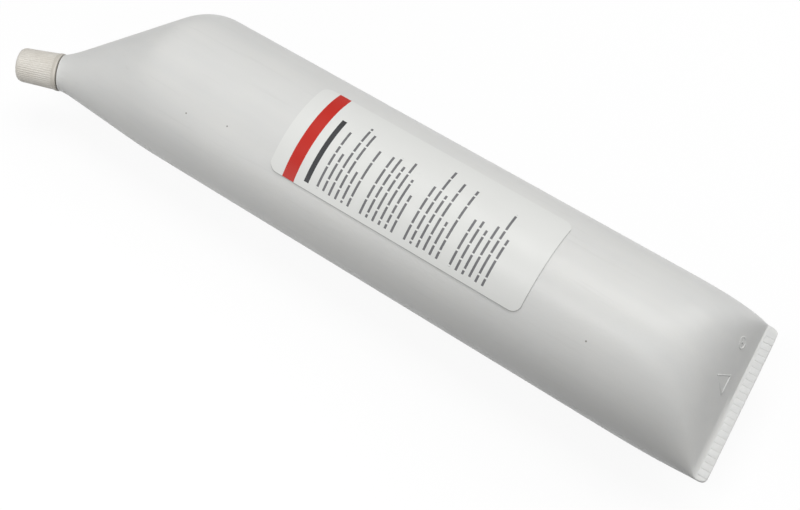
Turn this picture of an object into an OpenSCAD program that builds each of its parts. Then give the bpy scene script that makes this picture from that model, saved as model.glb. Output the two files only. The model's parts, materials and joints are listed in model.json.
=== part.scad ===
// Squeeze tube of grease lying on its side: a blown tube with a slanted shoulder and an end that
// is pinched flat, its filling, its label, and a ribbed screw cap with a sealing liner.
// The tube lies along X with the cap towards -X, and the table is at Z = 0.

/* [Tube] */
// Outside diameter of the round part
tube_d = 70; // [62:1:78]
// Length along the tube from the outer edge of the pinched end to the face that the cap meets
tube_len = 326.5; // [280:0.5:380]
// Thickness of the wall
wall = 1; // [0.7:0.1:1.4]
// Depth by which the full, soft tube settles flat on its underside
rest_flat = 1.2; // [0.6:0.1:2]
// Turn of the mould's parting plane, in which the spout and the band lie, from upright towards -Y
mould_roll = 97; // [80:1:105]

/* [Pinched end] */
// Length of the flat band in which the walls are fused
seal_len = 5; // [4:0.5:10]
// How much thinner the fused band is than two walls
seal_squeeze = 0.2; // [0.1:0.1:0.5]
// Radius of the band's outer corners
seal_corner = 2.5; // [1:0.5:3.5]
// How far each end of the band lies inside the side line of the tube
seal_inset = 0.2; // [0:0.1:6]
// How much further the -Y end of the band reaches along the tube than its other end
seal_skew = 4.8; // [0:0.2:8]
// Length over which the round tube closes down to the band
wedge_len = 38; // [26:1:60]
// Fullness of the closing end, from a straight wedge at 1 to a blunt one
wedge_full = 2.8; // [1.5:0.1:3.5]

/* [Shoulder and spout] */
// Length along the tube of the slanted shoulder, from its corner to the face that the cap meets
shoulder_len = 51.5; // [42:0.5:65]
// Reach of the rounding on each side of the shoulder's corner
corner_reach = 9; // [6:1:20]
// Reach of the hollow curve where the shoulder runs out into the collar
flare_reach = 8; // [4:1:14]
// How far the collar's edge lies inside the side line of the tube
spout_inset = 0.8; // [0:0.1:8]
// Outward lean of the spout
spout_lean = 23; // [8:1:28]
// Turn of the direction in which the spout leans, from upright towards -Y
lean_roll = 81; // [70:1:105]
// Diameter of the collar under the cap
collar_d = 16.8; // [16:0.1:19]
// Length of the collar
collar_len = 2; // [1:0.5:6]
// Thickness of the end wall inside the collar
end_wall = 1.5; // [1:0.1:2]
// Diameter of the neck, at the middle of its thread
neck_d = 11.6; // [10:0.1:12]
// Diameter of the orifice through the neck
orifice_d = 6; // [4:0.5:7]

/* [Screw cap] */
// Length of the cap
cap_len = 19.3; // [15:0.1:24]
// Diameter at the open end
cap_base_d = 17.1; // [16:0.1:19]
// Diameter at the closed end
cap_tip_d = 15.4; // [15:0.1:17]
// Rounding of the closed end
cap_round = 1.6; // [0.8:0.1:2]
// Thickness of the closed end
cap_roof = 2; // [1.5:0.1:3]
// Diameter of the hollow that takes the neck
cap_bore_d = 12.8; // [12.4:0.1:13]
// Open gap between the collar and the cap
cap_gap = 0.5; // [0.4:0.1:1.5]
// Height of the smooth rim at the open end
cap_rim = 2; // [1:0.1:4]
// Number of grip grooves
grooves = 48; // [24:2:52]
// Width of a grip groove
groove_w = 0.6; // [0.3:0.05:0.7]

/* [Liner] */
// Thickness of the sealing liner
liner_t = 1.5; // [0.8:0.1:2]
// Clearance round the liner's edge
liner_clear = 0.25; // [0.1:0.05:0.4]
// Clearance on each flat side of the liner
liner_seat = 0.1; // [0.05:0.05:0.2]

/* [Label] */
// Length of the label along the tube
label_len = 118; // [60:0.5:150]
// Width of the label round the tube
label_w = 45; // [30:0.5:60]
// Distance of the label from the outer edge of the pinched end
label_start = 87.5; // [75:0.5:100]
// Turn of the label about the tube, from upright towards -Y
label_roll = 12.5; // [-20:0.5:25]
// Radius of the label's corners
label_corner = 4; // [2:0.5:8]
// Thickness of the label
label_t = 0.2; // [0.15:0.05:0.4]
// Clearance under the label
label_clear = 0.05; // [0.02:0.01:0.1]

/* [Filling] */
// Clearance between the filling and the tube
fill_clear = 0.3; // [0.2:0.05:0.5]
// How far the filling stands back from the mouth of the neck
fill_short = 1; // [0.5:0.5:4]

/* [Hidden] */
$fn = 96;

// Sides of a tube section, and steps along the wedge, the shoulder's corner and the flare
sides = 48;
wedge_steps = 12;
corner_steps = 7;
flare_steps = 5;

tube_r = tube_d / 2;
axis_z = tube_r - rest_flat;
collar_r = collar_d / 2;
cap_base_r = cap_base_d / 2;
cap_tip_r = cap_tip_d / 2;
spout_off = tube_r - collar_r - spout_inset;

// Cap, liner and neck stack up from the collar's face
cap_top = cap_gap + cap_len;
liner_z = cap_top - cap_roof - liner_seat - liner_t;
neck_len = liner_z - liner_seat;

// The band: half thickness, half width and how far its longer end reaches past its middle, share of
// a section that stays flat, and half thickness at the closed end of the space inside
band_t = wall - seal_squeeze / 2;
band_w = tube_r - seal_inset;
band_lead = seal_skew / 2 * stretch(0) / band_w;
flat_share = 0.55;
pocket_t = 0.15;

// The spout leaves the collar's face along neck_axis. The cap's tip and the band's longer end are the
// ends of the part, and where the tip reaches past the side of the tube, the tube lies off the middle
lean_dir = dir(lean_roll);
neck_axis = [-cos(spout_lean), 0, 0] + sin(spout_lean) * lean_dir;
seal_x = (tube_len + tip_reach(-neck_axis.x) - band_lead) / 2;
axis_y = max(0, spout_off * sin(mould_roll) + tip_reach(-neck_axis.y) - tube_r) / 2;
collar_at = [seal_x - tube_len, axis_y, axis_z] + spout_off * dir(mould_roll);

// Slanted length of the shoulder on its long side, and the shares of it that the two curves take
corner_a = tube_len - shoulder_len;
slant = norm([shoulder_len, tube_r + spout_off - collar_r]);
corner_share = corner_reach / slant;
flare_share = flare_reach / slant;
// Share of the flare that the filling follows before it narrows into the neck
fill_share = 0.6;

// Unit vector across the tube, turned from upright towards -Y
function dir(turn) = [0, -sin(turn), cos(turn)];

function clamp(x, low, high) = min(high, max(low, x));

function bezier(a, b, c, u) = (1 - u) * (1 - u) * a + 2 * u * (1 - u) * b + u * u * c;

// Reach of the cap's rounded tip along a direction whose share of the spout's axis is given
function tip_reach(share) =
    (cap_top - cap_round) * share + (cap_tip_r - cap_round) * sqrt(1 - share * share) + cap_round;

// Unit vector of side i of a section that lies square across the tube
function spoke(i) = cos(i * 360 / sides) * dir(mould_roll) + sin(i * 360 / sides) * dir(mould_roll - 90);

// The same vector leaned over with the spout
function leaned(q) = q + (q * lean_dir) * ((cos(spout_lean) - 1) * lean_dir + [sin(spout_lean), 0, 0]);

// How far a section is flattened, from 1 at the band to 0 on the round tube
function flattened(a) = (1 - clamp((a - seal_len) / wedge_len, 0, 1)) ^ wedge_full;

// Half thickness of the tube at a distance from the band's outer edge
function thick(a) = tube_r - (tube_r - band_t) * flattened(a);

// Distance at which the space inside, offset inwards by o, is just open
function pocket(o) = let (share = (o + pocket_t - band_t) / (tube_r - band_t))
    seal_len + wedge_len * (1 - (1 - share) ^ (1 / wedge_full));

function corner_cut(a) = a < seal_corner ? seal_corner - sqrt(seal_corner ^ 2 - (seal_corner - a) ^ 2) : 0;

// Half of the straight stretch between the round sides of a section
function stretch(a) = (band_w - band_t) * flattened(a) - corner_cut(a);

function spread(c) = let (u = clamp(c / flat_share, -1, 1)) u * (3 - u * u) / 2;

// Section across the tube at a distance from the band's outer edge, offset inwards by o
function section(a, o) = let (
    middle = [seal_x - a, axis_y, axis_z],
    across = dir(mould_roll) + [seal_skew / 2 * flattened(a) / band_w, 0, 0]
) [for (i = [0:sides - 1])
    middle + (thick(a) - o) * spoke(i) + stretch(a) * spread(cos(i * 360 / sides)) * across];

// Round section of the spout at a height above the collar's face
function spout_ring(r, z) = [for (i = [0:sides - 1]) collar_at + z * neck_axis + r * leaned(spoke(i))];

// Sections from the round tube over the corner, down the slant and out along the collar
function shoulder(o, end = 1) = let (
    start = section(corner_a - corner_reach, o),
    corner = section(corner_a, o),
    root = spout_ring(collar_r - o, -collar_len),
    face = spout_ring(collar_r - o, 0),
    slope = root - corner
) concat(
    [for (k = [0:corner_steps]) bezier(start, corner, corner + corner_share * slope, k / corner_steps)],
    [for (k = [0:flare_steps]) bezier(root - flare_share * slope, root, face, end * k / flare_steps)]
);

// Sections from the closed end of the wedge to the round tube
function wedge(first, o) = concat(
    [section(first, o)],
    [for (k = [1:wedge_steps]) section(seal_len + wedge_len * k / wedge_steps, o)]
);

// Sections along the flat band, closer together round its corners
function band() = [for (a = [0, 0.1, 0.4, 1] * seal_corner) section(a, 0)];

// A section settled on the table, or on the skin of thickness o that lies on the table
function settled(rings, o) = [for (ring = rings) [for (p = ring) [p.x, p.y, max(p.z, o)]]];

function flat(rings) = [for (ring = rings, p = ring) p];

// Triangles between ring k and ring k + 1 of a skin whose points start at number first
function skin(first, count) = [for (k = [0:count - 2], i = [0:sides - 1])
    let (a = first + k * sides + i, b = first + k * sides + (i + 1) % sides)
    each [[a, a + sides, b + sides], [a, b + sides, b]]];

function reversed(faces) = [for (face = faces) [for (i = [len(face) - 1:-1:0]) face[i]]];

function disc(first) = [for (i = [0:sides - 1]) first + i];

// Closed solid through a row of sections
module loft(rings) {
    last = (len(rings) - 1) * sides;
    polyhedron(flat(rings), concat([disc(0)], skin(0, len(rings)), reversed([disc(last)])));
}

// Hollow skin between two rows of sections, closed at its first end and open at its last
module sock(outer, inner) {
    first = len(outer) * sides;
    outer_end = first - sides;
    inner_end = first + (len(inner) - 1) * sides;
    rim = [for (i = [0:sides - 1]) let (j = (i + 1) % sides)
        each [[outer_end + i, inner_end + i, inner_end + j], [outer_end + i, inner_end + j, outer_end + j]]];
    polyhedron(
        flat(concat(outer, inner)),
        concat([disc(0)], skin(0, len(outer)), rim, reversed(concat(skin(first, len(inner)), [disc(first)])))
    );
}

// Places its children on the collar's face, with +Z along the spout
module at_spout() {
    translate(collar_at)
        rotate([lean_roll, 0, 0])
            rotate([0, spout_lean - 90, 0])
                children();
}

// Neck with its orifice, and the end wall that joins it to the collar
module neck() {
    orifice_r = orifice_d / 2;
    neck_r = neck_d / 2;
    // The end wall's edge lies in the middle of the collar's wall, just behind its face
    edge_r = collar_r - wall / 2;
    set_back = 0.1;
    mouth_cut = 0.5;
    rotate_extrude()
        polygon([
            [orifice_r, -set_back - end_wall],
            [edge_r, -set_back - end_wall],
            [edge_r, -set_back],
            [neck_r, -set_back],
            [neck_r, neck_len - mouth_cut],
            [neck_r - mouth_cut, neck_len],
            [orifice_r, neck_len]
        ]);
}

module tube_body() {
    color([0.87, 0.87, 0.86]) union() {
        sock(
            settled(concat(band(), wedge(seal_len, 0), shoulder(0)), 0),
            settled(concat(wedge(pocket(wall), wall), shoulder(wall)), wall)
        );
        at_spout() neck();
    }
}

module grease_fill() {
    skin_t = wall + fill_clear;
    stem_r = orifice_d / 2 - fill_clear;
    stem = [spout_ring(stem_r, -collar_len), spout_ring(stem_r, neck_len - fill_short)];
    color([0.72, 0.55, 0.28])
        loft(settled(concat(wedge(pocket(skin_t), skin_t), shoulder(skin_t, fill_share), stem), skin_t));
}

// Plate with rounded corners, centred, made of two bars and four posts
module rounded_plate(length, width, corner, height) {
    cube([length, width - 2 * corner, height], center = true);
    cube([length - 2 * corner, width, height], center = true);
    for (x = [-1, 1], y = [-1, 1])
        translate([x * (length / 2 - corner), y * (width / 2 - corner), 0])
            cylinder(r = corner, h = height, center = true);
}

module label() {
    inner_r = tube_r + label_clear;
    outer_r = inner_r + label_t;
    half_angle = label_w / tube_r * 90 / PI;
    // The sleeve is a little larger all round than the label that is cut from it
    spare = 2;
    color([0.95, 0.95, 0.95])
        translate([seal_x - label_start - label_len / 2, axis_y, axis_z])
            rotate([label_roll, 0, 0])
                intersection() {
                    rotate([0, -90, 0])
                        rotate([0, 0, -half_angle - spare])
                            rotate_extrude(angle = 2 * (half_angle + spare))
                                translate([inner_r, -label_len / 2 - spare])
                                    square([label_t, label_len + 2 * spare]);
                    translate([0, 0, tube_r])
                        rounded_plate(label_len, 2 * outer_r * sin(half_angle), label_corner, tube_r);
                }
}

// Half section of the cap before its grip is cut
module cap_profile() {
    bore_r = cap_bore_d / 2;
    roof_z = cap_top - cap_roof;
    lead_in = 0.4;
    round_steps = 6;
    polygon(concat(
        [[bore_r + lead_in, cap_gap], [cap_base_r, cap_gap]],
        [for (k = [0:round_steps]) let (turn = 90 * k / round_steps)
            [cap_tip_r - cap_round * (1 - cos(turn)), cap_top - cap_round * (1 - sin(turn))]],
        [[0, cap_top], [0, roof_z], [bore_r, roof_z], [bore_r, cap_gap + lead_in]]
    ));
}

module screw_cap() {
    taper = atan((cap_base_r - cap_tip_r) / (cap_len - cap_round));
    groove_r = cap_base_r - cap_rim * tan(taper);
    color([0.9, 0.88, 0.82])
        at_spout()
            difference() {
                rotate_extrude() cap_profile();
                for (i = [0:grooves - 1])
                    rotate([0, 0, i * 360 / grooves])
                        translate([groove_r, 0, cap_gap + cap_rim])
                            rotate([0, -taper, 0])
                                cylinder(d = groove_w, h = cap_len, $fn = 24);
            }
}

module cap_liner() {
    color([0.8, 0.82, 0.8])
        at_spout()
            translate([0, 0, liner_z])
                cylinder(d = cap_bore_d - 2 * liner_clear, h = liner_t);
}

tube_body();
grease_fill();
label();
screw_cap();
cap_liner();
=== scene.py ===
# %% [markdown]
# A soft white squeeze tube of grease lies on its side on a white table. Its wall is one blown piece of
# polyethylene: an end that the mould pinched flat, a round body, a slanted shoulder, and a spout at one
# side under a ribbed cap.
# The tube could be modelled from nothing, but the solids of the part already give every size and place.
# So this lesson dresses them: each cell makes one piece or one finish, and the cells can be run one after
# the other and looked at on the way.

# %% Load the solids
import json
import math

import bmesh
import bpy
from mathutils import Matrix, Vector


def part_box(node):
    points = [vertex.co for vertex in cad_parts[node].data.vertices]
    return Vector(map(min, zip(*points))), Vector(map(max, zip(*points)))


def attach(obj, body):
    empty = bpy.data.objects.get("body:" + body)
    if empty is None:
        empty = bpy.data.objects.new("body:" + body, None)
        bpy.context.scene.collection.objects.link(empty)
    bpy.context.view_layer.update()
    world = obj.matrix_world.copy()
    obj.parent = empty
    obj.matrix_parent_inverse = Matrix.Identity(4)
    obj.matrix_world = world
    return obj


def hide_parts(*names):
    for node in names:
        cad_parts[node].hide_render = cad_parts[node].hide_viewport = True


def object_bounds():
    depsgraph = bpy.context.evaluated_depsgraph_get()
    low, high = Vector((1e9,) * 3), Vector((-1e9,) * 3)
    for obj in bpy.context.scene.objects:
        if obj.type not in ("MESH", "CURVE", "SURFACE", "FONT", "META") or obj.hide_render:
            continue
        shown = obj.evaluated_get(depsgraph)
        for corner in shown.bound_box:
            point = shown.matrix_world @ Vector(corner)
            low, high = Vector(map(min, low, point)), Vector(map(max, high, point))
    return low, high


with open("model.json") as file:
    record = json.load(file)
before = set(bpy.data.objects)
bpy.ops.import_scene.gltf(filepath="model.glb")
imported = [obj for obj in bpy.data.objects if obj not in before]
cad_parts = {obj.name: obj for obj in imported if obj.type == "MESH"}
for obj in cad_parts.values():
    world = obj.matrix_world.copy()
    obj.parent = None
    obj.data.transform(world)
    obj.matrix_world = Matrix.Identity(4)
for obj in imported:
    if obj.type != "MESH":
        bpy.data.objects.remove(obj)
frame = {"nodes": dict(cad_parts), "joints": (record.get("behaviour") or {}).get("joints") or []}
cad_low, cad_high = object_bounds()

MM = 0.001
print("solids:", sorted(frame["nodes"]), "box in mm:", [round(x / MM, 1) for x in cad_high - cad_low])

# %% [markdown]
# Operators act on whatever is selected, and the solids are still selected after loading. By hand one would
# click on what is needed. A script has no mouse, so each step first clears the selection and then picks
# points or edges by their place, because one forgotten selection spoils a piece without a word.

# %% Helpers to select
def clear():
    """Go to object mode with nothing selected."""
    if bpy.context.object and bpy.context.object.mode != "OBJECT":
        bpy.ops.object.mode_set(mode="OBJECT")
    bpy.ops.object.select_all(action="DESELECT")


def only(piece):
    """Make one piece the only selected object, in object mode."""
    clear()
    piece.select_set(True)
    bpy.context.view_layer.objects.active = piece


def edit(piece):
    """Open one piece in edit mode with nothing selected."""
    only(piece)
    bpy.ops.object.mode_set(mode="EDIT")
    bpy.ops.mesh.select_mode(type="VERT")
    bpy.ops.mesh.select_all(action="DESELECT")


def pick(kind, test):
    """In edit mode, select the vertices or edges that pass a test, and count them."""
    bpy.ops.mesh.select_mode(type=kind)
    bpy.ops.mesh.select_all(action="DESELECT")
    mesh = bpy.context.object.data
    shape = bmesh.from_edit_mesh(mesh)
    elements = {"VERT": shape.verts, "EDGE": shape.edges}[kind]
    found = [element for element in elements if test(element)]
    for element in found:
        element.select_set(True)
    shape.select_flush_mode()
    bmesh.update_edit_mesh(mesh)
    return len(found)


print("selection helpers ready")

# %% [markdown]
# Most pieces end the same way: modifiers are applied, double points are merged, faces are turned outwards,
# the shading is smoothed up to an angle, and the place of the piece goes into its mesh. That could be
# written out for each piece, but in one place it is done alike for all of them.

# %% Helpers to change and finish a piece
same_place = 0.002 * MM


def modify(piece, kind, **settings):
    """Add one modifier, set it, and apply it."""
    only(piece)
    modifier = piece.modifiers.new(kind.lower(), kind)
    for name, value in settings.items():
        setattr(modifier, name, value)
    bpy.ops.object.modifier_apply(modifier=modifier.name)


def tidy(piece, angle=35):
    """Merge doubles, turn the faces outwards and shade the piece smooth up to an angle in degrees."""
    edit(piece)
    bpy.ops.mesh.select_all(action="SELECT")
    bpy.ops.mesh.remove_doubles(threshold=same_place)
    bpy.ops.mesh.normals_make_consistent(inside=False)
    only(piece)
    bpy.ops.object.shade_smooth_by_angle(angle=math.radians(angle))


def join(first, *others):
    """Make several meshes one piece."""
    only(first)
    for other in others:
        other.select_set(True)
    bpy.ops.object.join()
    return first


def settle(piece, place):
    """Move a piece by a matrix, and put its place into its mesh."""
    only(piece)
    piece.matrix_world = place
    bpy.ops.object.transform_apply(location=True, rotation=True, scale=True)


def new_piece(name):
    """Name the mesh that an operator has just added."""
    piece = bpy.context.object
    piece.name = name
    piece.data.name = name
    return piece


print("modelling helpers ready")

# %% [markdown]
# The spout leans out of the shoulder, and cap, liner and neck are round about its axis. They could be
# modelled in their leaning place, but round pieces are easier to turn upright at the origin and then to
# move on to the spout. The joint of the cap gives the spout's place and axis, so they follow the solids.

# %% Find the spout, and make the lathe
cap_turn = next(joint for joint in frame["joints"] if joint["name"] == "cap_turn")
spout_at = Vector(cap_turn["pos_m"])
spout_axis = Vector(cap_turn["axis"]).normalized()
spout_turn = spout_axis.to_track_quat("Z", "Y").to_matrix().to_4x4()
spout_frame = Matrix.Translation(spout_at) @ spout_turn


def wire(name, points):
    """Extrude one point through a row of places."""
    clear()
    bpy.ops.mesh.primitive_plane_add(size=MM)
    piece = new_piece(name)
    edit(piece)
    bpy.ops.mesh.select_all(action="SELECT")
    bpy.ops.mesh.merge(type="CENTER")
    bpy.ops.transform.translate(value=points[0])
    for start, end in zip(points, points[1:]):
        bpy.ops.mesh.extrude_vertices_move(TRANSFORM_OT_translate={"value": end - start})
    return piece


def lathe(name, profile, steps):
    """Spin a half section of (radius, height) in mm about +Z."""
    piece = wire(name, [Vector((radius, 0, height)) * MM for radius, height in profile])
    bpy.ops.mesh.select_all(action="SELECT")
    bpy.ops.mesh.spin(steps=steps, angle=2 * math.pi, center=(0, 0, 0), axis=(0, 0, 1))
    bpy.ops.mesh.select_all(action="SELECT")
    bpy.ops.mesh.remove_doubles(threshold=same_place)
    return piece


print("spout at", [round(x / MM, 1) for x in spout_at], "mm, axis", [round(x, 3) for x in spout_axis])

# %% [markdown]
# The camera comes early, because every look at the work goes through it. It could be placed by eye, but the
# straight sides of the tube give its place and lens more exactly. It stands above the near side, towards
# the pinched end, and looks down steeply, so the spout recedes to the upper left.

# %% Set up the camera
camera_at = Vector((162.0, -214.5, 456.3)) * MM
camera_back = Vector((0.2788, -0.4072, 0.8697))
bpy.ops.object.camera_add(location=camera_at, rotation=camera_back.to_track_quat("Z", "Y").to_euler())
camera = bpy.context.object
camera.data.sensor_width = 36
camera.data.lens = 53.28
camera.data.clip_start = 0.01
camera.data.clip_end = 20
bpy.context.scene.camera = camera
print("camera", round((camera_at - spout_at).length / MM), "mm from the spout")

# %% [markdown]
# The mould pinched the end of the tube flat, in the plane in which its two halves meet, and left a narrow
# band that was trimmed a little askew. Ribs, marks and a crease come on it or beside it later. Each could
# have numbers of its own, but one small frame keeps them in line: the middle of the band, a direction
# across it, and a face that looks up. The sizes are those of the solids.

# %% Describe the pinched end
tube_r = 35 * MM
band_len = 5 * MM
band_width = 69.6 * MM
band_half = 0.9 * MM
band_corner = 2.5 * MM
band_skew = 4.8 * MM
band_slant = band_skew / band_width
mould_roll = math.radians(97)
axis_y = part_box("tube_body")[1].y - tube_r
axis_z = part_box("tube_body")[1].z - tube_r
across_tube = Vector((0, -math.sin(mould_roll), math.cos(mould_roll)))
band_across = across_tube + Vector((band_slant, 0, 0))
band_face = Vector((0, math.cos(mould_roll), math.sin(mould_roll)))
band_lead = band_slant * (band_width / 2 - band_half - band_corner)
band_mid = Vector((cad_high.x - band_lead, axis_y, axis_z))


def on_band(inwards, across, out):
    """Point at a distance in from the band's outer edge, across the band, and out of its face."""
    return band_mid - Vector((inwards, 0, 0)) + across * band_across + out * band_face


def from_band_edge(point):
    """Distance of a point from the band's outer edge, along the tube."""
    across = (point - band_mid).dot(across_tube)
    return band_mid.x + across * band_slant - point.x


print("pinched band: middle of its edge at", [round(x / MM, 1) for x in band_mid], "mm")

# %% [markdown]
# The wall of the tube is thin and soft, with no hard edge between the round body and its ends. It could be
# lofted again from circles, but the solid already has its exact sections. So a copy of the solid's skin is
# merged, and its triangles go back to quads, which a subdivision can round. Long quads are cut first,
# because subdivision would pull the rings at their ends towards each other. The solid's plain neck is cut
# away here, and a threaded one is made in the next steps.

# %% Copy the skin of the tube
neck_cut = 1.85 * MM
same_point = 0.001 * MM
long_edge = 150 * MM
long_cuts = 36
slanted_from = 28 * MM
slanted_to = 75 * MM
slanted_cuts = 8
skin = bpy.data.objects.new("tube_skin", frame["nodes"]["tube_body"].data.copy())
bpy.context.scene.collection.objects.link(skin)
skin.data.materials.clear()
edit(skin)
bpy.ops.mesh.select_all(action="SELECT")
bpy.ops.mesh.customdata_custom_splitnormals_clear()
bpy.ops.mesh.remove_doubles(threshold=same_point)
bpy.ops.mesh.tris_convert_to_quads(
    face_threshold=math.pi, shape_threshold=math.pi, topology_influence=1.5)
bpy.ops.mesh.select_all(action="SELECT")
bpy.ops.mesh.bisect(plane_co=spout_at - neck_cut * spout_axis, plane_no=spout_axis, clear_outer=True)
straight = pick("EDGE", lambda edge: edge.calc_length() > long_edge)
bpy.ops.mesh.subdivide(number_cuts=long_cuts)
slanted = pick("EDGE", lambda edge: slanted_from < edge.calc_length() < slanted_to)
bpy.ops.mesh.subdivide(number_cuts=slanted_cuts)
print("cut", straight, "straight and", slanted, "slanted edges")

# %% [markdown]
# On the real tube the band meets the wedge in a clear line, while everything round it is soft. A bevel along
# that line would work too, but a crease on its ring of edges is enough: the subdivision rounds the rest of
# the skin and keeps the line.

# %% Crease the band and round the skin
crease = 0.35
ring_reach = 0.3 * MM


def on_band_ring(edge):
    """True for an edge along the line where the band meets the wedge."""
    return all(abs(from_band_edge(vertex.co) - band_len) < ring_reach for vertex in edge.verts)


edit(skin)
creased = pick("EDGE", on_band_ring)
bpy.ops.transform.edge_crease(value=crease)
modify(skin, "SUBSURF", levels=1, render_levels=1)
print("creased", creased, "edges; skin has", len(skin.data.polygons), "faces")

# %% [markdown]
# The neck under the cap is a stiff round stub: collar, root, mouth, orifice and the underside of the end
# wall. It could be cut out of a cylinder step by step, but as on a lathe it is quicker to spin it from one
# half section, which gives its inside too.

# %% Turn the neck
turn_steps = 96
neck_len = 16.1
orifice_r = 3.0
neck_core_r = 5.5
neck_profile = [
    (8.42, -0.9), (8.4, -0.4), (8.3, -0.12), (8.05, 0), (6.3, 0), (5.8, 0.12), (neck_core_r, 0.5),
    (neck_core_r, neck_len - 0.7), (5.3, neck_len - 0.2), (4.9, neck_len), (3.35, neck_len),
    (3.1, neck_len - 0.1), (orifice_r, neck_len - 0.35), (orifice_r, -1.4), (3.3, -1.6), (6.9, -1.6),
    (7.35, -1.68),
]
neck = lathe("neck", neck_profile, turn_steps)
only(neck)
print("neck has", len(neck.data.polygons), "faces")

# %% [markdown]
# The thread is a small ridge that winds up the neck, right-handed like most caps. A curve with a bevel could
# follow the helix, but a Screw modifier winds the ridge's own section and keeps its flanks straight. Its
# ends are then faded into the neck, as a mould leaves them.

# %% Wind the thread of the neck
pitch = 3.2
thread_start = 2.6
thread_turns = 3
thread_sink = 0.1
run_out = 16
root_half = 0.62
crest_half = 0.28
neck_crest_r = 6.15
round_a_plane = (0, 1, 3, 2)


def thread(name, core_r, crest_r, start, turns):
    """Wind a ridge from one radius to another up the +Z axis, and fade its ends out. Sizes are in mm."""
    ridge = [(core_r, -root_half), (crest_r, -crest_half), (crest_r, crest_half), (core_r, root_half)]
    clear()
    bpy.ops.mesh.primitive_plane_add(size=MM)
    piece = new_piece(name)
    for vertex, (radius, height) in zip(round_a_plane, ridge):
        piece.data.vertices[vertex].co = Vector((radius, 0, start + height)) * MM
    modify(piece, "SCREW", axis="Z", angle=2 * math.pi, screw_offset=pitch * MM, iterations=turns,
           steps=turn_steps, render_steps=turn_steps, use_merge_vertices=False)
    edit(piece)
    pick("EDGE", lambda edge: edge.is_boundary)
    bpy.ops.mesh.edge_face_add()
    only(piece)
    for vertex in piece.data.vertices:
        step = vertex.index // len(ridge)
        fade = min(1, (step + 1) / run_out, (turns * turn_steps - step + 1) / run_out)
        radius = math.hypot(vertex.co.x, vertex.co.y)
        inwards = (core_r * MM + (radius - core_r * MM) * fade) / radius
        vertex.co = Vector((vertex.co.x * inwards, vertex.co.y * inwards, vertex.co.z))
    return piece


neck_thread = thread("neck_thread", neck_core_r - thread_sink, neck_crest_r, thread_start, thread_turns)
print("thread of the neck has", len(neck_thread.data.polygons), "faces")

# %% [markdown]
# Skin and neck are one wall on the real tube. They could stay two pieces that overlap, but then the seam
# would show. So each of the neck's two open rims, outside and inside, is bridged to the rim that the cut
# left in the skin, and the thread joins the same piece.

# %% Bridge the neck to the skin
rim_least = 5
rim_between = 8.05
rim_most = 12


def open_rim(low_r, high_r):
    """A test for open edges whose distance from the spout's axis is between two radii in mm."""
    def test(edge):
        if not edge.is_boundary:
            return False
        middle = sum((vertex.co for vertex in edge.verts), Vector()) / 2 - spout_at
        off_axis = (middle - middle.dot(spout_axis) * spout_axis).length
        return low_r * MM < off_axis < high_r * MM
    return test


for piece in (neck, neck_thread):
    settle(piece, spout_frame)
join(skin, neck)
edit(skin)
for low_r, high_r in ((rim_between, rim_most), (rim_least, rim_between)):
    edges = pick("EDGE", open_rim(low_r, high_r))
    bpy.ops.mesh.bridge_edge_loops()
    print("bridged", edges, "edges")
join(skin, neck_thread)
tidy(skin, angle=40)
print("tube skin:", len(skin.data.polygons), "faces")

# %% [markdown]
# The pinching edge of the mould leaves a row of flat bars on both faces of the band, with fine grooves
# between them. Bump in the finish could fake them, but they show at the band's edge, so they are real bars.
# One is shaped from a cube with rounded edges, and the rest are copies of its mesh. Each is moved to its
# own place, and some are pressed flatter than others.

# %% Press the ribs of the band
rib_count = 23
rib_pitch = 2.85 * MM
rib_size = Vector((4.2, 2.5, 0.17)) * MM
rib_round = 0.07 * MM
rib_mid = 2.35 * MM
rib_flattest = 0.45
rib_beat = 1.9


def turn_to(x, y, z):
    """A turn that carries the X, Y and Z axes to three directions."""
    return Matrix((x, y, z)).transposed().to_4x4()


def first_rib():
    """Add one bar at the origin, with its edges rounded."""
    clear()
    bpy.ops.mesh.primitive_cube_add(size=1)
    piece = new_piece("band_ribs")
    edit(piece)
    bpy.ops.mesh.select_all(action="SELECT")
    bpy.ops.transform.resize(value=rib_size)
    bpy.ops.mesh.select_all(action="SELECT")
    bpy.ops.mesh.bevel(offset=rib_round, segments=3, affect="EDGES")
    return piece


band_turn = turn_to(Vector((1, 0, 0)), band_across, band_face)
ribs = [first_rib()]
while len(ribs) < 2 * rib_count:
    only(ribs[0])
    bpy.ops.object.duplicate(linked=False)
    ribs.append(bpy.context.object)
for index, rib in enumerate(ribs):
    side = 1 if index < rib_count else -1
    across = (index % rib_count - (rib_count - 1) / 2) * rib_pitch
    height = rib_flattest + (1 - rib_flattest) * abs(math.sin(rib_beat * index))
    press = Matrix.Diagonal((1, 1, height, 1))
    place = Matrix.Translation(on_band(rib_mid, across, side * band_half))
    settle(rib, place @ band_turn @ press)
band_ribs = join(*ribs)
tidy(band_ribs)
print("ribs:", len(ribs), "bars,", len(band_ribs.data.polygons), "faces")

# %% [markdown]
# The mould also left small raised marks on the wedge beside the band. The wedge is curved, so their places
# can't be written as plain coordinates. A Shrinkwrap modifier could pull the marks on to it, but a ray that
# is shot down on the skin is enough: it finds a point and the direction in which the skin faces there.

# %% Find places on the wedge
mark_sink = 0.14 * MM
ray_from = 60 * MM
ring_at = (11.0, -16.9)


def on_wedge(inwards, across):
    """Point just under the wedge's skin at a place in mm from the band, and the skin's normal there."""
    _, point, normal, _ = skin.ray_cast(on_band(inwards * MM, across * MM, ray_from), -band_face)
    return point - mark_sink * normal, normal


def lay(piece, place, along, up):
    """Turn a piece's Y along one direction and its Z up another, and move it to a place."""
    side = along.cross(up).normalized()
    turn = turn_to(side, along.normalized(), side.cross(along).normalized())
    settle(piece, Matrix.Translation(place) @ turn)
    return piece


print("place for the ring:", [round(x / MM, 1) for x in on_wedge(*ring_at)[0]], "mm")

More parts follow.
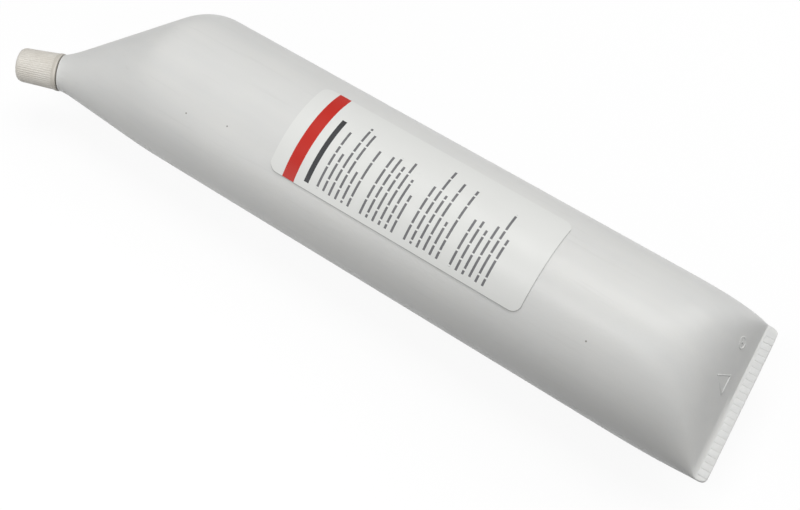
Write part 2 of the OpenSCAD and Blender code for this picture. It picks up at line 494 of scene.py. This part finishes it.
# %% [markdown]
# The marks are a ring round a small boss, and a triangle of three bars, all with rounded crests. They could
# be carved into the skin, but that would take many more faces there. So each is a small piece that is sunk
# a little into the wedge: a torus whose crest is pressed flatter, and balls that are drawn out into bars.

# %% Raise the mould marks
mark_r = 0.42 * MM
crest_from = 0.5 * mark_r
crest_press = 0.6
ring_r = 2.3 * MM
boss_ends = [(11.2, -16.9), (10.8, -16.9)]
corners = [(13.9, 0.9), (9.5, -4.2), (9.6, 4.1)]
half_from = 0.01 * MM


def ring_mark(name, middle, radius):
    """Add a raised ring: a torus whose crest is pressed flatter."""
    place, up = on_wedge(*middle)
    clear()
    bpy.ops.mesh.primitive_torus_add(
        major_radius=radius, minor_radius=mark_r, major_segments=40, minor_segments=10)
    piece = new_piece(name)
    edit(piece)
    pick("VERT", lambda vertex: vertex.co.z > crest_from)
    bpy.ops.transform.resize(value=(1, 1, crest_press), center_override=(0, 0, crest_from))
    return lay(piece, place, up.cross(Vector((1, 0, 0))), up)


def bar_mark(name, start, end):
    """Add a raised bar with round ends: a ball whose one half is moved off."""
    first, up = on_wedge(*start)
    last, _ = on_wedge(*end)
    clear()
    bpy.ops.mesh.primitive_uv_sphere_add(segments=16, ring_count=8, radius=mark_r)
    piece = new_piece(name)
    edit(piece)
    pick("VERT", lambda vertex: vertex.co.y > half_from)
    bpy.ops.transform.translate(value=(0, (last - first).length, 0))
    return lay(piece, first, last - first, up)


marks = join(
    ring_mark("mould_marks", ring_at, ring_r),
    bar_mark("mark_boss", *boss_ends),
    bar_mark("mark_side", corners[0], corners[1]),
    bar_mark("mark_base", corners[1], corners[2]),
    bar_mark("mark_slope", corners[2], corners[0]),
)
tidy(marks)
print("mould marks:", len(marks.data.polygons), "faces")

# %% [markdown]
# The two halves of the mould meet in the plane of the band and the spout, and leave a fine bead along both
# sides of the tube. An edge loop of the skin could be pulled out, but none follows that line. So rays from
# outside find its path, and a thin round curve follows it and becomes a mesh.

# %% Lay the parting bead
bead_r = 0.16 * MM
bead_sink = 0.07 * MM
bead_steps = 80
bead_from_spout = 5.2 * MM
bead_from_band = 2 * MM
bead_ends = (spout_at.x + bead_from_spout, band_mid.x - band_len - bead_from_band)


def parting_path(side):
    """Places just under the skin where the mould's halves meet, on one side of the tube."""
    path = []
    for step in range(bead_steps + 1):
        along = bead_ends[0] + (bead_ends[1] - bead_ends[0]) * step / bead_steps
        outside = Vector((along, axis_y, axis_z)) + side * ray_from * across_tube
        _, point, normal, _ = skin.ray_cast(outside, -side * across_tube)
        path.append(point - bead_sink * normal)
    return path


def bead(name, path):
    """Make a thin round bead along a path."""
    piece = wire(name, path)
    only(piece)
    bpy.ops.object.convert(target="CURVE")
    piece.data.bevel_depth = bead_r
    piece.data.bevel_resolution = 2
    piece.data.use_fill_caps = True
    bpy.ops.object.convert(target="MESH")
    return bpy.context.object


parting = join(bead("parting_bead", parting_path(1)), bead("far_bead", parting_path(-1)))
tidy(parting, angle=60)
print("parting bead:", len(parting.data.polygons), "faces")

# %% [markdown]
# The cap is a moulded cup with a smooth rim, a slight taper and a small mark of the gate in its end. It could
# be made from a cylinder by insets, but one half section that is spun about the axis gives all its rounded
# corners at once. It gets six columns of faces for each grip rib, which the next step needs.

# %% Spin the cap
cap_gap = 0.5
cap_top = 19.8
cap_base_r = 8.55
cap_bore_r = 6.4
rib_total = 48
columns = 6
cap_profile = [
    (0, 17.8), (5.9, 17.8), (6.25, 17.7), (cap_bore_r, 17.4), (cap_bore_r, 1.2), (6.75, 0.65),
    (7.0, cap_gap), (8.3, cap_gap), (8.48, 0.58), (cap_base_r, 0.8), (8.52, 1.9), (8.42, 2.2),
    (8.36, 2.35), (8.34, 2.5), (8.3, 2.8), (8.2, 4.8), (8.0, 9.8), (7.82, 14.6), (7.74, 17.2),
    (7.68, 17.9), (7.55, 18.4), (7.3, 18.95), (6.9, 19.4), (6.3, 19.7), (5.6, cap_top), (4.5, cap_top),
    (4.3, 19.73), (4.1, 19.7), (1.3, 19.7), (1.1, 19.68), (0.95, 19.6), (0.8, 19.54), (0.5, 19.52),
    (0, 19.52),
]
cap = lathe("ribbed_cap", cap_profile, rib_total * columns)
only(cap)
print("cap has", len(cap.data.polygons), "faces before its grooves")

# %% [markdown]
# Fine grip grooves run up the side of the cap. A Boolean could cut each groove, but it would leave untidy
# faces. Here two of each six columns are scaled in towards the axis instead, which leaves a groove. A ridge
# inside is the thread, half a pitch above the neck's, so that both threads turn past each other.

# %% Sink the grooves and wind the cap's thread
sunk_columns = 2
groove_depth = 0.2
groove_low = 2.5
groove_high = 18.3
cap_tip_r = 7.7
cap_side_r = 7
cap_crest_r = 5.75


def in_groove(point):
    """True for a point of the upright cap's outer wall in a column that sinks into a groove."""
    column = round(math.atan2(point.y, point.x) / (2 * math.pi) * rib_total * columns) % columns
    outer = math.hypot(point.x, point.y) > cap_side_r * MM
    return column < sunk_columns and outer and groove_low * MM < point.z < groove_high * MM


edit(cap)
sunk = pick("VERT", lambda vertex: in_groove(vertex.co))
groove_scale = 1 - groove_depth / cap_tip_r
bpy.ops.transform.resize(value=(groove_scale, groove_scale, 1), center_override=(0, 0, 0))
cap_thread = thread(
    "cap_thread", cap_bore_r + thread_sink, cap_crest_r, thread_start + pitch / 2, thread_turns)
join(cap, cap_thread)
tidy(cap, angle=60)
settle(cap, spout_frame)
print("cap:", sunk, "points sunk into grooves,", len(cap.data.polygons), "faces")

# %% [markdown]
# In the roof of the cap lies a soft disc that seals the mouth of the neck. A plain cylinder would do for its
# outline, but the mouth has pressed a shallow ring into it, so it is turned from a half section too.

# %% Turn the liner
liner_low = 16.2
liner_high = 17.7
liner_r = 6.15
mouth_press = 0.06
liner_profile = [
    (0, liner_low), (2.9, liner_low), (3.2, liner_low + mouth_press), (4.9, liner_low + mouth_press),
    (5.3, liner_low), (5.9, liner_low), (6.08, liner_low + 0.07), (liner_r, liner_low + 0.25),
    (liner_r, liner_high - 0.25), (6.08, liner_high - 0.07), (5.9, liner_high), (0, liner_high),
]
liner = lathe("liner_disc", liner_profile, turn_steps)
tidy(liner)
settle(liner, spout_frame)
print("liner:", len(liner.data.polygons), "faces")

# %% [markdown]
# The label is a stiff film with rounded corners, stuck round the tube. It could be cut out of a cylinder, but
# it is made as a printer makes it: cut flat, mapped while it is flat so that the print follows the film, and
# only then rolled. A plane gets its corners, its strips and its thickness, and a bend rolls it to the
# radius of the tube.

# %% Cut the label and roll it
label_len = 118 * MM
label_flat_w = 45 * MM
label_arc = label_flat_w / tube_r
label_lift = 0.14 * MM
label_r = tube_r + label_lift
label_w = label_r * label_arc
label_t = 0.2 * MM
label_corner = 4 * MM
label_strips = 45

clear()
bpy.ops.mesh.primitive_plane_add(size=1)
label = new_piece("label_film")
edit(label)
bpy.ops.mesh.select_all(action="SELECT")
bpy.ops.transform.resize(value=(label_w, label_len, 1))
bpy.ops.mesh.bevel(offset=label_corner, offset_type="OFFSET", segments=10, affect="VERTICES")
for strip in range(1, label_strips):
    bpy.ops.mesh.select_all(action="SELECT")
    bpy.ops.mesh.bisect(plane_co=(label_w * (strip / label_strips - 0.5), 0, 0), plane_no=(1, 0, 0))
only(label)
print_map = label.data.uv_layers.active.data
for loop in label.data.loops:
    flat = label.data.vertices[loop.vertex_index].co
    print_map[loop.index].uv = (flat.y / label_len + 0.5, flat.x / label_w + 0.5)
modify(label, "SOLIDIFY", thickness=label_t, offset=0)
edit(label)
bpy.ops.mesh.select_all(action="SELECT")
bpy.ops.transform.rotate(value=-math.pi / 2, orient_axis="X", center_override=(0, 0, 0))
modify(label, "SIMPLE_DEFORM", deform_method="BEND", deform_axis="Z", angle=label_arc)
print("label box in mm:", [round(x / MM, 1) for x in label.dimensions])

# %% [markdown]
# The rolled label still stands upright at the origin. It could be turned in several steps, but one matrix does
# it: its length goes along the tube, and its middle to the side where it was stuck, which looks up to the
# camera. Its place then goes into its mesh.

# %% Lay the label on the tube
label_roll = math.radians(12.5)
label_mid = (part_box("label")[0].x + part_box("label")[1].x) / 2
label_out = Vector((0, -math.sin(label_roll), math.cos(label_roll)))
along_tube = Vector((1, 0, 0))
label_turn = turn_to((-label_out).cross(along_tube), -label_out, along_tube)
label_at = Vector((label_mid, axis_y, axis_z)) + label_r * label_out
settle(label, Matrix.Translation(label_at) @ label_turn)
tidy(label, angle=45)
print("label:", len(label.data.polygons), "faces")

# %% [markdown]
# Every finish is a small tree of nodes. The trees could be wired by hand in the editor, but written down they
# can be read and changed. One helper starts a material, one adds a node and links or sets its inputs, and
# one puts the finish on a piece.

# %% Helpers to build a finish
def new_finish(name):
    """Start a material, and return it with its tree, its shader and its Object coordinates."""
    material = bpy.data.materials.new(name)
    material.use_nodes = True
    tree = material.node_tree
    shader = tree.nodes["Principled BSDF"]
    place = tree.nodes.new("ShaderNodeTexCoord").outputs["Object"]
    return material, tree, shader, place


def node(tree, kind, inputs, **settings):
    """Add one node, set its options, then link or set its inputs. Returns its first output."""
    made = tree.nodes.new("ShaderNode" + kind)
    for name, value in settings.items():
        setattr(made, name, value)
    for name, value in inputs.items():
        if isinstance(value, bpy.types.NodeSocket):
            tree.links.new(value, made.inputs[name])
        else:
            made.inputs[name].default_value = value
    return made.outputs[0]


def wear(piece, material):
    """Put one finish on a piece."""
    piece.data.materials.clear()
    piece.data.materials.append(material)


print("finish helpers ready")

# %% [markdown]
# Real plastic, foam and film are never one even colour, so each finish is mixed from a few patterns: clouds of
# noise, ranges carried over to other ranges, sums, blends and fine relief. Images could do the same, but
# patterns have no seam and no end. They read Object coordinates in metres, so a scale of 100 repeats about
# every 10 mm. Noise stays mostly between 0.3 and 0.7, and a sum of two between 0.7 and 1.3.

# %% Helpers for patterns
def noise(tree, place, scale, detail=3.0):
    """Cloudy values around one half."""
    return node(tree, "TexNoise", {"Vector": place, "Scale": scale, "Detail": detail})


def spread(tree, value, from_low, from_high, to_low, to_high):
    """Carry one range of values over to another, and stop at its ends."""
    inputs = {
        "Value": value, "From Min": from_low, "From Max": from_high, "To Min": to_low, "To Max": to_high}
    return node(tree, "MapRange", inputs)


def maths(tree, operation, first, second=0.0):
    """Combine two values."""
    return node(tree, "Math", {0: first, 1: second}, operation=operation)


def blend(tree, amount, first, second):
    """Go from one colour to another by an amount."""
    made = tree.nodes.new("ShaderNodeMix")
    made.data_type = "RGBA"
    for name, value in (("Factor_Float", amount), ("A_Color", first), ("B_Color", second)):
        socket = next(item for item in made.inputs if item.identifier == name)
        if isinstance(value, bpy.types.NodeSocket):
            tree.links.new(value, socket)
        else:
            socket.default_value = value
    return next(item for item in made.outputs if item.identifier == "Result_Color")


def bump(tree, shader, height, distance):
    """Give a shader small relief from a height between 0 and 1, with its depth in metres."""
    normal = node(tree, "Bump", {"Height": height, "Distance": distance, "Strength": 1.0})
    tree.links.new(normal, shader.inputs["Normal"])


print("pattern helpers ready")

# %% [markdown]
# Years in boxes leave traces on soft plastic: fine scuffs along the tube, and a few dark specks in the skin.
# They could be painted, but noise whose coordinates are squeezed along the tube is drawn out into scuffs
# without a brush, and the middles of cells give specks. Three larger specks have places of their own. The
# scuffs stop before the wedge, where the skin slopes and would cut them into short marks.

# %% Scuff and speck the plastic
scuff_squeeze = (0.05, 1.0, 1.0)
scuff_scale = 640.0
scuff_clouds = (0.6, 0.8)
scuff_most = 0.2
scuff_end = (112 * MM, 124 * MM)
dust_scale = 26.0
dust_edge = (0.004, 0.009)
dust_dark = 0.7
speck_places = [(-57.3, -19.5, 61.1), (-77.0, -22.5, 58.3), (112.4, -20.5, 60.2)]
speck_r = 0.45 * MM
speck_core = 0.6
speck_dark = 0.85


def plastic_scuffs(tree, place):
    """Fine scuffs along the tube, between 0 and their most."""
    scratched = node(tree, "Mapping", {"Vector": place, "Scale": scuff_squeeze})
    lines = noise(tree, scratched, scuff_scale, detail=5.0)
    scuffs = spread(tree, lines, *scuff_clouds, 0.0, scuff_most)
    along = node(tree, "SeparateXYZ", {"Vector": place})
    return maths(tree, "MULTIPLY", scuffs, spread(tree, along, *scuff_end, 1.0, 0.0))


def plastic_specks(tree, place):
    """Scattered dust and a few larger specks, between 0 and 1."""
    dust = node(tree, "TexVoronoi", {"Vector": place, "Scale": dust_scale})
    specks = spread(tree, dust, *dust_edge, dust_dark, 0.0)
    for spot in speck_places:
        away = node(tree, "VectorMath", {0: place, 1: Vector(spot) * MM}, operation="DISTANCE")
        away = away.node.outputs["Value"]
        dot = spread(tree, away, speck_core * speck_r, speck_r, speck_dark, 0.0)
        specks = maths(tree, "MAXIMUM", specks, dot)
    return specks


print("scuffs end at x =", round(scuff_end[1] / MM), "mm;", len(speck_places), "larger specks")

# %% [markdown]
# The wall is soft polyethylene, milky and half matt. One even white would look like paper, so its tone drifts a
# little from place to place, faint streaks run along it, and its gloss is uneven. The roughness keeps to a
# narrow range, because a step in it would show as a blotch, and a little light goes under the surface,
# which keeps the wall milky.

# %% Finish the white plastic
milk_white = (0.68, 0.68, 0.662, 1)
cool_white = (0.645, 0.648, 0.636, 1)
scuff_grey = (0.5, 0.5, 0.485, 1)
speck_grey = (0.16, 0.15, 0.13, 1)
drift_clouds = (0.75, 1.25)
two_clouds = (0.7, 1.3)
drift_scale = 22.0
streak_squeeze = (0.06, 1.0, 1.0)
streak_scale = 110.0
rub_scale = 420.0
rub_share = 0.6
sheen_scale = 60.0
grain_scale = 900.0
grain_depth = 0.03 * MM
plastic_gloss = (0.3, 0.38)


def white_plastic():
    """Milky soft plastic with streaks, scuffs and specks."""
    material, tree, shader, place = new_finish("white_plastic")
    stretched = node(tree, "Mapping", {"Vector": place, "Scale": streak_squeeze})
    drift = maths(tree, "ADD", noise(tree, place, drift_scale), noise(tree, stretched, streak_scale))
    colour = blend(tree, spread(tree, drift, *drift_clouds, 0.0, 1.0), milk_white, cool_white)
    colour = blend(tree, plastic_scuffs(tree, place), colour, scuff_grey)
    colour = blend(tree, plastic_specks(tree, place), colour, speck_grey)
    tree.links.new(colour, shader.inputs["Base Color"])
    rubs = noise(tree, stretched, rub_scale, detail=4.0)
    gloss = maths(tree, "ADD", noise(tree, place, sheen_scale), rubs)
    tree.links.new(spread(tree, gloss, *two_clouds, *plastic_gloss), shader.inputs["Roughness"])
    fine = noise(tree, place, grain_scale, detail=2.0)
    bump(tree, shader, maths(tree, "ADD", maths(tree, "MULTIPLY", rubs, rub_share), fine), grain_depth)
    shader.inputs["Specular IOR Level"].default_value = 0.25
    shader.inputs["Subsurface Weight"].default_value = 0.15
    shader.inputs["Subsurface Radius"].default_value = (1.0, 0.95, 0.85)
    shader.inputs["Subsurface Scale"].default_value = 1.5 * MM
    return material


plastic = white_plastic()
for piece in (skin, band_ribs, marks, parting):
    wear(piece, plastic)
print("white plastic has", len(plastic.node_tree.nodes), "nodes")

# %% [markdown]
# The cap is a stiffer, ivory plastic. Its grooves are darker, partly with grime from handling and partly with
# painted shade, and its rim is darker with painted shade. Noise alone could place the darkening, but it would
# miss the grooves. So the points there carry an attribute, and the finish reads it.

# %% Finish the cap
ivory = (0.675, 0.65, 0.6, 1)
ivory_warm = (0.635, 0.605, 0.55, 1)
# A grey for grime and painted shade in the grooves, and painted shade on the rim.
grime_and_shade_grey = (0.42, 0.39, 0.33, 1)
groove_grime_and_shade = 0.35
# Painted shade on the smooth rim below the grooves.
rim_shade = 0.5
tone_clouds = (0.35, 0.65)
one_cloud = (0.3, 0.7)
tone_scale = 160.0
cap_gloss = (0.34, 0.46)
cap_gloss_scale = 300.0
cap_grain_scale = 1600.0
cap_grain_depth = 0.008 * MM


def ivory_plastic():
    """Satin ivory plastic, darker where the piece's attribute of grime and painted shade says so."""
    material, tree, shader, place = new_finish("ivory_plastic")
    tone = spread(tree, noise(tree, place, tone_scale), *tone_clouds, 0.0, 1.0)
    colour = blend(tree, tone, ivory, ivory_warm)
    # The attribute darkens the grooves with grime and painted shade, and the rim with painted shade.
    grime_and_shade = node(tree, "Attribute", {}, attribute_name="grime_and_shade").node.outputs["Fac"]
    tree.links.new(blend(tree, grime_and_shade, colour, grime_and_shade_grey), shader.inputs["Base Color"])
    gloss = spread(tree, noise(tree, place, cap_gloss_scale), *one_cloud, *cap_gloss)
    tree.links.new(gloss, shader.inputs["Roughness"])
    bump(tree, shader, noise(tree, place, cap_grain_scale), cap_grain_depth)
    shader.inputs["IOR"].default_value = 1.5
    return material


grime_and_shade = cap.data.attributes.new("grime_and_shade", "FLOAT", "POINT")
spout_back = spout_frame.inverted()
for vertex in cap.data.vertices:
    upright = spout_back @ vertex.co
    # Points in the grooves get grime and painted shade.
    if in_groove(upright):
        grime_and_shade.data[vertex.index].value = groove_grime_and_shade
    # Points on the rim get painted shade.
    elif upright.z < groove_low * MM:
        grime_and_shade.data[vertex.index].value = rim_shade
wear(cap, ivory_plastic())
darkened_points = sum(point.value > 0 for point in grime_and_shade.data)
print("cap finished, with grime on", darkened_points, "of", len(grime_and_shade.data), "points")

# %% [markdown]
# The liner is a pale foam disc. Its closed cells could be modelled, but they are far too small, so a cell
# pattern shows them in its colour, gloss and relief.

# %% Finish the liner
foam_light = (0.72, 0.71, 0.68, 1)
foam_shade = (0.58, 0.57, 0.54, 1)
cell_scale = 1600.0
cell_range = (0.0, 0.7)
cell_depth = 0.05 * MM
foam_gloss = (0.6, 0.8)


def pale_foam():
    """Fine closed-cell foam."""
    material, tree, shader, place = new_finish("pale_foam")
    cells = node(tree, "TexVoronoi", {"Vector": place, "Scale": cell_scale})
    tree.links.new(blend(tree, cells, foam_light, foam_shade), shader.inputs["Base Color"])
    tree.links.new(spread(tree, cells, *cell_range, *foam_gloss), shader.inputs["Roughness"])
    bump(tree, shader, cells, cell_depth)
    return material


wear(liner, pale_foam())
print("liner finished, with", round(1 / cell_scale / MM, 2), "mm cells")

# %% [markdown]
# The grease fills the tube and stands in the mouth of the neck, where it shows when the cap is off: a honey
# coloured paste with a wet gloss and soft swirls. It could get a piece of its own, but its solid already has
# the right shape, so it only gets a finish, on the slots that it came with.

# %% Finish the grease
honey = (0.52, 0.33, 0.11, 1)
pale_honey = (0.62, 0.44, 0.19, 1)
swirl_scale = 180.0
swirl_depth = 0.2 * MM
paste_gloss = (0.12, 0.24)


def honey_paste():
    """Smooth wet paste with swirls."""
    material, tree, shader, place = new_finish("honey_paste")
    swirl = noise(tree, place, swirl_scale, detail=5.0)
    tree.links.new(blend(tree, swirl, honey, pale_honey), shader.inputs["Base Color"])
    tree.links.new(spread(tree, swirl, *one_cloud, *paste_gloss), shader.inputs["Roughness"])
    bump(tree, shader, swirl, swirl_depth)
    shader.inputs["Subsurface Weight"].default_value = 0.25
    shader.inputs["Subsurface Radius"].default_value = (1.0, 0.6, 0.25)
    shader.inputs["Subsurface Scale"].default_value = 2 * MM
    return material


grease = frame["nodes"]["grease_fill"]
paste = honey_paste()
for slot in grease.material_slots:
    slot.material = paste
print("grease slots:", len(grease.material_slots))

# %% [markdown]
# The print on the label is plain: a red stripe from edge to edge, one heavy bar, and rows of broken grey bars.
# It could be an image, but drawn in nodes it stays sharp at any distance. Print is made of areas with sharp
# edges, which a ramp would blur, so each area is a product of comparisons: one inside and zero outside. All
# places are in mm from the label's cap end and from its far edge.

# %% Helpers for the print
# Shift of the outline for the painted shadow along the near edge, in mm.
edge_shadow_shift = (0.1, 0.35)


def inside(tree, value, low, high):
    """One where a value is between two limits, and zero outside."""
    above = maths(tree, "GREATER_THAN", value, low)
    return maths(tree, "MULTIPLY", above, maths(tree, "LESS_THAN", value, high))


def in_box(tree, along, across, box):
    """One inside a rectangle of the label."""
    return maths(tree, "MULTIPLY", inside(tree, along, *box[:2]), inside(tree, across, *box[2:]))


def past_corner(tree, value, length, shift):
    """How far a place lies past the start of the rounded corners, if the outline is shifted back."""
    off_middle = maths(tree, "ABSOLUTE", maths(tree, "SUBTRACT", value, length / MM / 2 - shift))
    past = maths(tree, "SUBTRACT", off_middle, (length / 2 - label_corner) / MM)
    return maths(tree, "MAXIMUM", past, 0.0)


def near_edge_shadow(tree, along, across):
    """One on the thin painted shadow along the label's near edge."""
    first = past_corner(tree, along, label_len, edge_shadow_shift[0])
    second = past_corner(tree, across, label_w, edge_shadow_shift[1])
    squares = [maths(tree, "MULTIPLY", side, side) for side in (first, second)]
    away = maths(tree, "SQRT", maths(tree, "ADD", *squares))
    return maths(tree, "GREATER_THAN", away, label_corner / MM)


print("edge line is up to", max(edge_shadow_shift), "mm wide")

# %% [markdown]
# Rows of broken grey bars fill most of the label, in blocks. They could be drawn one by one, but a few nodes
# make them all: each row gets its own length from white noise, the gaps in it come from the edges of
# one-dimensional cells, and every seventh row stays blank, which parts the blocks.

# %% Rows of bars
row_first = 22.4
row_pitch = 3.0
row_count = 28
row_height = 0.34
row_near_edge = 42.0
row_shortest = 14.0
row_spread = 22.0
row_shift = 31.7
blank_rows = 7.0
blank_from = 1.5
piece_scale = 0.15
piece_gap = 0.055


def row_bars(tree, along, across):
    """One on the broken bars."""
    row = maths(tree, "DIVIDE", maths(tree, "SUBTRACT", along, row_first), row_pitch)
    row_number = maths(tree, "FLOOR", row)
    height = maths(tree, "FRACT", row)
    chance = node(tree, "TexWhiteNoise", {"W": row_number}, noise_dimensions="1D")
    length = spread(tree, chance, 0.0, 1.0, row_shortest, row_shortest + row_spread)
    row_far_edge = maths(tree, "SUBTRACT", row_near_edge, length)
    bars = inside(tree, across, row_far_edge, row_near_edge)
    bars = maths(tree, "MULTIPLY", bars, maths(tree, "LESS_THAN", height, row_height))
    bars = maths(tree, "MULTIPLY", bars, inside(tree, row_number, -0.5, row_count - 0.5))
    beat = maths(tree, "MODULO", row_number, blank_rows)
    bars = maths(tree, "MULTIPLY", bars, maths(tree, "LESS_THAN", beat, blank_rows - blank_from))
    cell = maths(tree, "MULTIPLY", across, piece_scale)
    cell = maths(tree, "ADD", cell, maths(tree, "MULTIPLY", row_number, row_shift))
    cells = {"W": cell, "Scale": 1.0}
    edge = node(tree, "TexVoronoi", cells, voronoi_dimensions="1D", feature="DISTANCE_TO_EDGE")
    return maths(tree, "MULTIPLY", bars, maths(tree, "GREATER_THAN", edge, piece_gap))


print(row_count, "rows, the last at", row_first + row_pitch * (row_count - 1), "mm")

# %% [markdown]
# The film is half glossy, with a faint unevenness. Its colours could each have a material of their own, but
# one material keeps the label one piece. They are laid over each other as on a press: film, rows, bar,
# stripe, and last a grey line along the near edge, which is a painted shadow of the edge. The print reads
# the label's own UV map, scaled to millimetres.

# %% Print the label
paper = (0.725, 0.73, 0.71, 1)
paper_shade = (0.7, 0.705, 0.685, 1)
row_ink = (0.15, 0.15, 0.155, 1)
bar_ink = (0.035, 0.035, 0.038, 1)
stripe_red = (0.48, 0.018, 0.01, 1)
# Grey of the painted shadow along the label's near edge.
edge_shadow_grey = (0.36, 0.36, 0.35, 1)
stripe = (7.0, 12.6)
bar_box = (16.6, 18.8, 12.0, 42.0)
paper_scale = 40.0
film_gloss = (0.3, 0.42)
film_gloss_scale = 90.0
film_grain_scale = 1200.0
film_grain_depth = 0.01 * MM


def printed_film():
    """Half-gloss film with its print."""
    material, tree, shader, place = new_finish("printed_film")
    axes = node(tree, "SeparateXYZ", {"Vector": node(tree, "UVMap", {})}).node.outputs
    along = maths(tree, "MULTIPLY", axes["X"], label_len / MM)
    across = maths(tree, "MULTIPLY", axes["Y"], label_w / MM)
    colour = blend(tree, noise(tree, place, paper_scale), paper, paper_shade)
    colour = blend(tree, row_bars(tree, along, across), colour, row_ink)
    colour = blend(tree, in_box(tree, along, across, bar_box), colour, bar_ink)
    colour = blend(tree, inside(tree, along, *stripe), colour, stripe_red)
    # Last, the painted shadow along the near edge.
    colour = blend(tree, near_edge_shadow(tree, along, across), colour, edge_shadow_grey)
    tree.links.new(colour, shader.inputs["Base Color"])
    gloss = spread(tree, noise(tree, place, film_gloss_scale), *one_cloud, *film_gloss)
    tree.links.new(gloss, shader.inputs["Roughness"])
    bump(tree, shader, noise(tree, place, film_grain_scale), film_grain_depth)
    shader.inputs["Specular IOR Level"].default_value = 0.25
    return material


film = printed_film()
wear(label, film)
print("label printed with", len(film.node_tree.nodes), "nodes")

# %% [markdown]
# When the cap is screwed off, its pieces have to move with it, and the label has to stay on the tube.

# %% Tie the pieces to the bodies
for piece, body, slot_name in (
    (skin, "tube", "tube"),
    (band_ribs, "tube", "tube"),
    (marks, "tube", "tube"),
    (parting, "tube", "tube"),
    (label, "tube", "label"),
    (cap, "cap", "cap"),
    (liner, "liner", "liner"),
):
    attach(piece, body)
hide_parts("tube_body")
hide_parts("label")
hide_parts("screw_cap")
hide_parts("cap_liner")

# %% [markdown]
# The tube lies on a white table. A plain white sheet would light the tube from below too, and take away the
# shade of its underside. So the table looks white to the camera and in reflections, but gives back little
# light. Part of its look is its own lit surface, which keeps a soft shadow, and a painted contact shadow
# darkens the white close under the tube, where it touches.

# %% Lay the table
table_half = 3.0
table_below = 0.02 * MM
table_bounce = (0.02, 0.02, 0.02, 1)
table_white = (0.97, 0.97, 0.97, 1)
shadow_share = 0.1
contact_reach = 6 * MM
# Level of the painted contact shadow in the table's glow.
painted_contact_shadow = 0.45


def seen_directly(tree):
    """One for rays that come from the camera, a reflection or glass."""
    path = tree.nodes.new("ShaderNodeLightPath").outputs
    seen = maths(tree, "MAXIMUM", path["Is Camera Ray"], path["Is Glossy Ray"])
    return maths(tree, "MAXIMUM", seen, path["Is Transmission Ray"])


def white_table():
    """White for the eye, with the object's shadow and a painted contact shadow on it, and dimmer for bounced
    light.
    """
    material = bpy.data.materials.new("white_table")
    material.use_nodes = True
    tree = material.node_tree
    tree.nodes.remove(tree.nodes["Principled BSDF"])
    dim = node(tree, "BsdfDiffuse", {"Color": table_bounce})
    lit = node(tree, "BsdfDiffuse", {"Color": table_white})
    # Painted contact shadow: the glow is darker where the tube is close above the table.
    free = node(tree, "AmbientOcclusion", {"Distance": contact_reach}).node.outputs["AO"]
    level = spread(tree, free, 0.0, 1.0, painted_contact_shadow, 1.0)
    glow = node(tree, "Emission", {"Color": (1, 1, 1, 1), "Strength": level})
    white = node(tree, "MixShader", {0: shadow_share, 1: glow, 2: lit})
    both = node(tree, "MixShader", {0: seen_directly(tree), 1: dim, 2: white})
    tree.links.new(both, tree.nodes["Material Output"].inputs["Surface"])
    return material


clear()
bpy.ops.mesh.primitive_plane_add(size=2 * table_half, location=(0, 0, -table_below))
table = new_piece("table")
wear(table, white_table())
print("table laid,", 2 * table_half, "m across")

# %% [markdown]
# The tube is lit softly from above. One big lamp could do that, but it would leave one broad highlight. So the
# room is dim and even, and four soft boxes do the rest. Two long ones overhead leave two soft bright
# stripes along the tube. One is behind the tube on the side of the pinched end, and a small one is close
# by, low on the near side towards the cap. So the near flank darkens towards the pinched end, and the wedge
# there lies in soft shade.

# %% Light the scene
room_level = 0.18
lamps = [
    ("lamp_over_far_side", (0.0, 0.25, 1.3), (0.8, 0.5), 6.1),
    ("lamp_over_near_side", (0.0, -0.58, 1.25), (0.8, 0.26), 5.3),
    ("lamp_behind", (0.5, 0.6, 0.8), (0.6, 0.6), 3.8),
    ("lamp_near", (-0.12, -0.3, 0.15), (0.2, 0.2), 0.33),
]


def pale_room():
    """World light: white where it is seen directly, and the room's level elsewhere."""
    world = bpy.data.worlds.new("pale_room")
    world.use_nodes = True
    tree = world.node_tree
    level = maths(tree, "MAXIMUM", seen_directly(tree), room_level)
    tree.links.new(level, tree.nodes["Background"].inputs["Strength"])
    tree.nodes["Background"].inputs["Color"].default_value = (1, 1, 1, 1)
    return world


def soft_lamp(name, place, size, power):
    """Add a soft box that looks at the origin. Its sides are in metres, its power is in watts."""
    clear()
    turn = Vector(place).to_track_quat("Z", "Y").to_euler()
    bpy.ops.object.light_add(type="AREA", location=place, rotation=turn)
    light = bpy.context.object
    light.name = name
    light.data.shape = "RECTANGLE"
    light.data.size = size[0]
    light.data.size_y = size[1]
    light.data.energy = power


bpy.context.scene.world = pale_room()
for lamp in lamps:
    soft_lamp(*lamp)
bpy.context.scene.view_settings.view_transform = "Standard"
print("lit by", len(lamps), "lamps")
